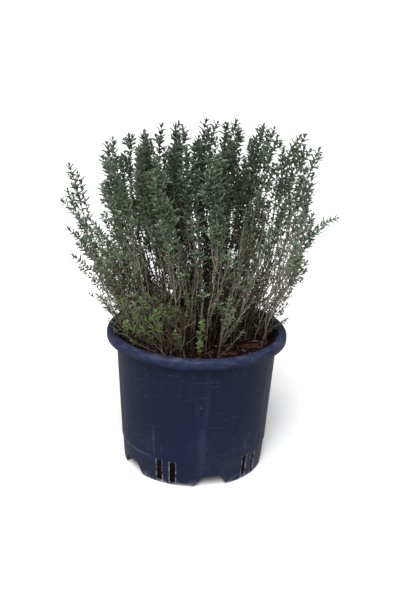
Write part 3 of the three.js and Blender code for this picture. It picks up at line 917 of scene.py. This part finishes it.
# The pairs of leaves at a joint of the stem: how likely a pair is at least, how much more where the stem
# is full and near a tip, its turn, its share of the opening and of a leaf's length, and its blades
JOINT_PAIRS = [
    (0.26, 0.74, 0, 0, 1, 1, blades),
    (0.25, 0.4, 0.5, 0.25, 0.6, 0.6, small_blades),
    (0.1, 0.2, 0.5, -0.9, 0.85, 0.55, small_blades),
]


class Shape(NamedTuple):
    """The line of a stem: its place on the soil, its rise, the seed of its draws, its radius, how far it
    arches out and how late, its share of the fan, where it forks, and how far its tip is moved."""
    base: tuple
    rise: float
    seed: int
    radius: float = 0.5
    reach: float = 0
    bend: float = 1
    fan: float = 1
    forks: tuple = ()
    lean: Vector = Vector((0, 0, 0))


class Habit(NamedTuple):
    """How a stem is dressed: the height of its first leaves, the shares of its rise where it starts to
    fill and is full, how often it has a side shoot, its leaves' length, and its number of branches."""
    bare: float
    sparse: float
    full: float
    shoots: float
    leaf: float
    branches: int


def draws_from(seed):
    """The same short sequence of draws that placed the solid stems."""
    state = seed

    def draw(low, high):
        nonlocal state
        state = (state * 16807) % 2147483647
        return low + (high - low) * state / 2147483647

    return draw


def held(share):
    """A share, held between 0 and 1."""
    return min(max(share, 0), 1)


def fan_out(shape, height):
    """A place in the fan at a height above the soil."""
    x, y = shape.base
    up = max(height - STRAIGHT_FOOT, 0)
    share = up / PLANT_HEIGHT
    spread = 1 + SPREAD * shape.fan * share ** SPREAD_POWER
    spread += shape.reach * (up / shape.rise) ** shape.bend / max(math.hypot(x, y), 1)
    sway_x = SWAY * math.sin(up / SWAY_RISE + y / SWAY_SPACING) * share
    sway_y = SWAY * math.cos(up / SWAY_RISE + x / SWAY_SPACING) * share
    return Vector((x * spread + sway_x, y * spread + sway_y, SOIL_LEVEL / MM + height))


def main_line(shape):
    """The stem's own line, with small bends that die out at its foot."""

    def wander(row, height, spacing):
        return noise.noise_vector(Vector((shape.seed * 0.37, row, height / spacing)))

    def spot(height):
        bends = wander(0, height, BEND_SPACING) * BEND_REACH + wander(5, height, KINK_SPACING) * KINK_REACH
        place = fan_out(shape, height) + bends * held(height / BENDS_FULL)
        return (place + shape.lean * (max(height, 0) / shape.rise) ** LEAN_POWER) * MM

    return spot


def line_beside(line, start, turn, away, rise, ease=1):
    """A line that parts from another at a height, and with ease comes to run beside it."""

    def spot(height):
        share = held((height - start) / rise)
        part = away * MM * share * (1 + ease - ease * share)
        return line(height) + Vector((math.cos(turn), math.sin(turn), 0)) * part

    return spot


def stem_lines(shape):
    """The line of a stem and of each of its forks, with its start, its end and its radius."""
    draw = draws_from(shape.seed)
    first_turn = draw(0, math.tau)
    trunk = main_line(shape)
    lines = [(trunk, -STEM_FOOT, shape.rise, shape.radius)]
    for i, share in enumerate(shape.forks):
        start = shape.rise * (share + draw(0, 0.08))
        end = shape.rise * draw(0.8, 0.96)
        turn = first_turn + i * math.pi + draw(-0.4, 0.4)
        lines.append((line_beside(trunk, start, turn, FORK_OFFSET, FORK_BEND), start, end, FORK_RADIUS))
    return lines


def points_on(line, start, end, steps):
    return [line(start + (end - start) * i / steps) for i in range(steps + 1)]


def direction(line, height):
    return (line(height + 1) - line(height - 1)).normalized()


def round_stem(along, turn):
    """A direction square to a stem, at an angle round it."""
    side = square_to(along)
    return side * math.cos(turn) + along.cross(side) * math.sin(turn)


def widened(low, high, margin):
    """A box with a margin all round it."""
    around = Vector((1, 1, 1)) * margin
    return Vector(low) - around, Vector(high) + around


def inside(spot, room):
    return all(room[0][k] <= spot[k] <= room[1][k] for k in range(3))


leaf_limit = widened(*cad_box, LEAF_PAST)


class Growth:
    """The leaves and the wood of one piece as it grows, with its luck and the room for its shoots."""

    def __init__(self, luck, room):
        self.luck = luck
        self.room = room
        self.green = bmesh.new()
        self.green.verts.layers.float_color.new("leaf")
        self.woody = bmesh.new()

    def set_leaf(self, template, spot, along, turn, opening, length):
        """Sets one blade on a stem, turned round it and opened away from it."""
        away = round_stem(along, turn)
        out = away * math.sin(opening) + along * math.cos(opening)
        if not inside(spot + out * length, leaf_limit):
            return
        side = along.cross(away).normalized()
        basis = Matrix((out, side, out.cross(side))).transposed().to_4x4()
        copy = template.copy()
        copy.transform(Matrix.Translation(spot) @ basis @ Matrix.Scale(length, 4))
        self.green.from_mesh(copy)
        bpy.data.meshes.remove(copy)

    def set_pair(self, templates, spot, along, turn, opening, length):
        """Two leaves on opposite sides of a stem, each a little out of true."""
        for half in (0, math.pi):
            self.set_leaf(self.luck.choice(templates), spot, along,
                          turn + half + self.luck.uniform(-0.35, 0.35),
                          opening + self.luck.uniform(-0.2, 0.2),
                          length * self.luck.uniform(0.82, 1.12) * MM)

    def set_star(self, top, along, turn, size):
        """The open tuft of leaves at a tip."""
        for i, (opening, share, below) in enumerate(STAR):
            self.set_pair(blades if i < 2 else small_blades, top - along * below * MM, along,
                          turn + i * math.pi / 2, math.radians(opening), size * share)

    def side_shoot(self, spot, along, turn, length, leaf):
        """A short shoot that leaves the stem at a slant, curves upwards and ends in a tuft."""
        away = round_stem(along, turn)
        steps = len(SHOOT_RADII) - 1
        slant = self.luck.uniform(0.55, 0.9)
        spots = [spot]
        for i in range(steps):
            lean = slant * (1 - 0.7 * i / (steps - 1))
            ahead = along * math.cos(lean) + away * math.sin(lean)
            spots.append(spots[-1] + ahead * (length * MM / steps))
        tube_into(self.woody, spots, SHOOT_RADII, 3)
        pairs = max(int(length / SHOOT_PAIR_SPACING), 1)
        for i in range(1, pairs):
            place = i / pairs * steps
            low = min(int(place), steps - 1)
            here = spots[low].lerp(spots[low + 1], place - low)
            ahead = (spots[low + 1] - spots[low]).normalized()
            shorter = leaf * self.luck.uniform(0.7, 0.9)
            self.set_pair(blades, here, ahead, turn + i * math.pi / 2, OPENING, shorter)
        ahead = (spots[-1] - spots[-2]).normalized()
        self.set_star(spots[-1], ahead, turn + pairs * math.pi / 2, leaf * 0.8)

    def dress(self, line, start, end, radius, rise, habit):
        """Covers a line in leaves from a height up, with tufts, side shoots and an open tip."""
        luck = self.luck
        steps = max(int((end - start) / RING_SPACING), 4)
        radii = [(radius + (TIP_RADIUS - radius) * i / steps) * MM for i in range(steps + 1)]
        tube_into(self.woody, points_on(line, start, end, steps), radii, 5 if radius > 0.7 else 4)
        height = max(start + 6, habit.bare)
        joint = luck.randrange(2)
        tip = line(end)
        while height < end and (tip - line(height)).length > TIP_CLEAR:
            full = held((height / rise - habit.sparse) / (habit.full - habit.sparse))
            along = direction(line, height)
            spot = line(height)
            crowded = max(1 - (tip - spot).length / CROWN, 0)
            turn = joint * math.pi / 2 + 0.4 * math.sin(height / 17)
            leaf = habit.leaf * (0.5 + 0.5 * full + 0.08 * crowded) * luck.uniform(0.85, 1.1)
            for least, if_full, if_crowded, twist, opening, share, templates in JOINT_PAIRS:
                if luck.random() < least + if_full * full + if_crowded * crowded:
                    self.set_pair(templates, spot, along, turn + twist, OPENING * opening, leaf * share)
            if luck.random() < habit.shoots * (0.5 + 0.5 * full) and height < end - SHOOT_BELOW_TIP:
                length = luck.uniform(SHOOT_LENGTH, SHOOT_LENGTH + SHOOT_EXTRA * (0.4 + 0.6 * full))
                side = turn + luck.choice((0, math.pi)) + luck.uniform(-0.4, 0.4)
                if inside(spot + round_stem(along, side) * (0.5 * length + 4) * MM, self.room):
                    self.side_shoot(spot, along, side, length, leaf)
            spacing = luck.uniform(*JOINT_SPACING) * (1 - 0.1 * full) * (1 - 0.4 * crowded)
            height += spacing * MM / (line(height + 1) - spot).length
            joint += 1
        self.set_star(tip, direction(line, end - 1), joint * math.pi / 2, habit.leaf)

    def stem(self, shape, habit):
        """Grows one stem with its forks, branches and leaves."""
        rise = shape.rise
        lines = stem_lines(shape)
        trunk = lines[0][0]
        for _ in range(habit.branches):
            start = rise * self.luck.uniform(0.04, 0.55)
            end = min(start + self.luck.uniform(*BRANCH_LENGTHS) * rise / PLANT_HEIGHT, rise * 0.94)
            turn = self.luck.uniform(0, math.tau)
            branch = line_beside(trunk, start, turn, self.luck.uniform(*BRANCH_AWAY), end - start, ease=0.3)
            if inside(branch(end), self.room):
                lines.append((branch, start, end, BRANCH_RADIUS))
        for line, start, end, radius in lines:
            self.dress(line, start, end, radius, rise, habit)

    def piece(self, name, leaves, stems, slot):
        """The leaves and the wood as one piece, which belongs to the potted plant."""
        for face in self.woody.faces:
            face.material_index = 1
        wood_mesh = bpy.data.meshes.new("wood")
        self.woody.to_mesh(wood_mesh)
        self.woody.free()
        self.green.from_mesh(wood_mesh)
        bpy.data.meshes.remove(wood_mesh)
        made = piece_from(name, self.green, [leaves, stems])
        sharpen(made, angle=70)
        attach(made, "root")
        return made


def grow(name, shape, habit, look, margin):
    """Grows a stem as the piece that takes its solid's place."""
    growth = Growth(random.Random(shape.seed), widened(*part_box(name), margin))
    growth.stem(shape, habit)
    made = growth.piece(name + "_in_leaf", *look)
    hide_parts(name)


def spot_round(radius, angle):
    """A place on the soil at an angle in degrees from the front."""
    turn = math.radians(angle)
    return radius * math.sin(turn), -radius * math.cos(turn)


# A look is the finish of the leaves, the finish of the wood, and the name of their slot
thyme_look = (
    leaf_finish("thyme_leaf", GREEN_DARK, GREEN_BLUE, GREEN_MOSS),
    stem_finish("thyme_stem_bark", STEM_BROWN, STEM_GREY, STEM_GREEN),
    "thyme_green",
)
tall_habit = Habit(bare=8, sparse=0.3, full=0.8, shoots=0.3, leaf=8.3, branches=9)
tall_number = 0
for i in range(TALL_PLACES):
    out = TALL_RADIUS * math.sqrt((i + 0.5) / TALL_PLACES)
    turn = (i * GOLDEN_ANGLE) % 360
    draw = draws_from(1201 + i * 97)
    drop = SHOULDER_DROP * (out / TALL_RADIUS) ** 2 + draw(0, UNEVEN_TOP)
    lift = RIGHT_LIFT * out * math.sin(math.radians(turn)) / TALL_RADIUS
    radius = draw(*SOLID_RADII) * FINER
    if BARE_FROM <= turn <= BARE_TO and out >= BARE_RADIUS:
        continue
    tall_number += 1
    x, y = spot_round(out, turn)
    shape = Shape((x + TALL_SHIFT, y), PLANT_HEIGHT - drop + lift, 3001 + i * 83, radius,
                  forks=(0.24, 0.44), lean=TALL_LEAN)
    grow(f"thyme_stem_{tall_number:02d}", shape, tall_habit, thyme_look, ROOM)

# Edge shoots: shorter stems round the edge of the soil, which arch outwards over the rim.
# Those at the front left are this year's growth, and are a brighter yellow-green.

RING_RADIUS = 72
SHOOT_ROOM = 5 * MM
EDGE_RADIUS = 0.75
# Each shoot: side in degrees, rise, reach, bend, share of the fan, and whether it is fresh
EDGE_SHOOTS = [
    (-84, 175, 56, 0.6, 0, False),
    (-102, 88, 37, 1.8, 1, False),
    (-70, 53, 24, 1.8, 1, False),
    (-118, 114, 10, 1.8, 1, False),
    (-138, 70, 18, 1.8, 1, False),
    (-165, 122, 4, 1.8, 1, False),
    (172, 76, 12, 1.8, 1, False),
    (150, 114, 6, 1.8, 1, False),
    (128, 66, 10, 1.8, 1, False),
    (113, 190, -20, 3, 1, False),
    (99, 94, 6, 1.8, 1, False),
    (86, 139, 42, 9, 0.7, False),
    (70, 178, -22, 3, 1, False),
    (18, 76, 0, 1.8, 1, False),
    (3, 48, 2, 1.8, 1, True),
    (-12, 38, 5, 1.8, 1, True),
    (-27, 58, 4, 1.8, 1, True),
    (-42, 42, 9, 1.8, 1, True),
    (-57, 68, 12, 1.8, 1, True),
    (-93, 64, 34, 1.8, 1, True),
]
# How far the tips of two shoots stand from the line that their bend gives: the tall sprig at the left
# is straighter, and the level one at the right droops
SHOOT_LEANS = {-84: Vector((2, 0, 7)), 86: Vector((5, 0, -4))}
FRESH_DARK = rgb(0.015, 0.034, 0.006)
FRESH_LIGHT = rgb(0.118, 0.195, 0.028)

fresh_look = (
    leaf_finish("young_thyme_leaf", FRESH_DARK, FRESH_LIGHT, FRESH_LIGHT),
    stem_finish("young_stem_bark", STEM_BROWN, STEM_GREY, STEM_GREEN),
    "fresh_green",
)
for i, (side, rise, reach, bend, fan, fresh) in enumerate(EDGE_SHOOTS):
    forked = rise > 60
    shape = Shape(spot_round(RING_RADIUS, side), rise, 7001 + i * 89, EDGE_RADIUS, reach, bend, fan,
                  (0.3,) if forked else (), SHOOT_LEANS.get(side, Vector((0, 0, 0))))
    habit = Habit(bare=4, sparse=0.12, full=0.8 if forked else 0.4, shoots=0.35,
                  leaf=7.4 if rise > 80 else 5.0, branches=5 if forked else 2)
    grow(f"edge_shoot_{i + 1:02d}", shape, habit, fresh_look if fresh else thyme_look, SHOOT_ROOM)

# Low growth fills the pot between the stems: young sprouts from the roots, brightest at the front left
# and tallest at the left, where they lean out over the rim, thin leafy shoots up to three quarters of
# the plant's height, and thin dead sticks left from other years. The front right is bare.

LOW_RADIUS = 75
SPROUTS = 120
SPROUT_RISE = (26, 62)
MIDDLE_RISE = 46
OLD_LEAF = (4.0, 5.8)
YOUNG_LEAF = (3.6, 4.8)
LEFT_SPROUTS = 11
LEFT_RISE = (60, 134)
LEFT_DISTANCE = (52, 72)
LEFT_SIDES = (-116, -66)
FINE_SHOOTS = 50
FINE_RISE = (75, 165)
FINE_DISTANCE = 54
STICKS = 300
STICK_RISE = (16, 112)
STICK_RADIUS = (0.35, 0.65)
# How far from the pot's axis a sprout or a stick may lean
LEAN_LIMIT = 88
# Where the soil is bare and where the sprouts are young: two sides in degrees, and a distance inside
# which neither holds
BARE_SOIL = (-9, 82, 24)
YOUNG_PART = (-100, 10, 28)


def within(radius, side, part):
    return part[0] < side < part[1] and radius > part[2]


def low_place(luck):
    """A place for a sprout: its distance from the pot's axis, and its side in degrees from the front."""
    while True:
        radius = LOW_RADIUS * math.sqrt(luck.uniform(0.03, 1))
        side = luck.uniform(-180, 180)
        if not within(radius, side, BARE_SOIL) and (side < 0 or luck.random() < 0.8):
            return radius, side


def leaning(luck, most):
    """A level push of a random size in a random direction."""
    turn = luck.uniform(0, math.tau)
    return Vector((math.cos(turn), math.sin(turn), 0)) * luck.uniform(0, most)


low_luck = random.Random(77)
low_looks = {"low_sprouts_old": thyme_look, "low_sprouts_young": fresh_look, "fine_shoots": thyme_look}
low_growth = {name: Growth(low_luck, cad_box) for name in low_looks}
for i in range(SPROUTS):
    radius, side = low_place(low_luck)
    rise = low_luck.uniform(*SPROUT_RISE) + MIDDLE_RISE * low_luck.random() * (1 - radius / LOW_RADIUS)
    shape = Shape(spot_round(radius, side), rise, 10007 + i * 61, reach=low_luck.uniform(-6, 14), bend=1.6,
                  forks=(0.3,) if rise > 45 else (),
                  lean=leaning(low_luck, min(0.45 * rise, LEAN_LIMIT - radius)))
    leaf = low_luck.uniform(*OLD_LEAF)
    young = within(radius, side, YOUNG_PART) and low_luck.random() < 0.72
    if young:
        leaf = low_luck.uniform(*YOUNG_LEAF)
    habit = Habit(bare=3, sparse=0.1, full=1.2, shoots=0.18, leaf=leaf, branches=1)
    low_growth["low_sprouts_young" if young else "low_sprouts_old"].stem(shape, habit)
left_habit = Habit(bare=6, sparse=0.1, full=0.9, shoots=0.3, leaf=6.4, branches=3)
for i in range(LEFT_SPROUTS):
    rise = low_luck.uniform(*LEFT_RISE)
    base = spot_round(low_luck.uniform(*LEFT_DISTANCE), low_luck.uniform(*LEFT_SIDES))
    shape = Shape(base, rise, 30011 + i * 59, reach=low_luck.uniform(6, 0.3 * rise), bend=1.5,
                  forks=(0.3,), lean=leaning(low_luck, 12))
    low_growth["low_sprouts_old"].stem(shape, left_habit)
fine_habit = Habit(bare=14, sparse=0.25, full=1.5, shoots=0.14, leaf=5.8, branches=3)
for i in range(FINE_SHOOTS):
    rise = low_luck.uniform(*FINE_RISE)
    side = low_luck.uniform(45, 155) if i % 3 == 0 else low_luck.uniform(-180, 180)
    base = spot_round(FINE_DISTANCE * math.sqrt(low_luck.random()), side)
    shape = Shape(base, rise, 40009 + i * 67, 0.4, low_luck.uniform(-4, 8), 1.4,
                  lean=leaning(low_luck, 26))
    low_growth["fine_shoots"].stem(shape, fine_habit)
for name, growth in low_growth.items():
    growth.piece(name, *low_looks[name])

old_wood = stem_finish("dead_stick_bark", DARK_WOOD_AND_SHADE, STEM_BROWN, STEM_BROWN)
stick_mesh = bmesh.new()
for i in range(STICKS):
    radius, side = low_place(low_luck)
    rise = low_luck.uniform(*STICK_RISE) * (1 - 0.6 * radius / LOW_RADIUS)
    shape = Shape(spot_round(radius, side), rise, 20011 + i * 53, reach=low_luck.uniform(-8, 8), bend=1.2,
                  lean=leaning(low_luck, min(0.85 * rise, LEAN_LIMIT - radius)))
    trunk = main_line(shape)
    start = rise * low_luck.uniform(0.25, 0.6)
    turn = low_luck.uniform(0, math.tau)
    fork = line_beside(trunk, start, turn, low_luck.uniform(4, 12), rise - start)
    fork_end = rise * low_luck.uniform(0.7, 0.95)
    for line, low, high in ((trunk, -3, rise), (fork, start, fork_end)):
        thick = low_luck.uniform(*STICK_RADIUS) * MM
        radii = [thick * (1 - 0.1 * step) for step in range(6)]
        for face in tube_into(stick_mesh, points_on(line, low, high, 5), radii, 4):
            face.material_index = int(i % 3 > 0)
sticks = piece_from("dead_sticks", stick_mesh, [dry_finish, old_wood])
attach(sticks, "root")

# The broken twig is last year's wood, left on the plant: a dry forked stick with no leaves.
# It stands in the soil at the right edge and leans out over the rim.

TWIG_SIDE = 92
TWIG_LENGTH = 24
TWIG_RADII = [1.1, 0.8]
TWIG_TAPER = 0.05
TWIG_STEPS = 8

twig_shape = Shape(spot_round(RING_RADIUS, TWIG_SIDE), TWIG_LENGTH, 9001, reach=TWIG_LENGTH, bend=1.3,
                   forks=(0.3,))
twig_mesh = bmesh.new()
for (line, start, end, _), thick in zip(stem_lines(twig_shape), TWIG_RADII):
    radii = [(thick - TWIG_TAPER * i) * MM for i in range(TWIG_STEPS + 1)]
    tube_into(twig_mesh, points_on(line, start, end, TWIG_STEPS), radii, 6)
twig = piece_from("dry_forked_twig", twig_mesh, [dry_finish])
sharpen(twig, angle=60)
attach(twig, "root")
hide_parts("broken_twig")
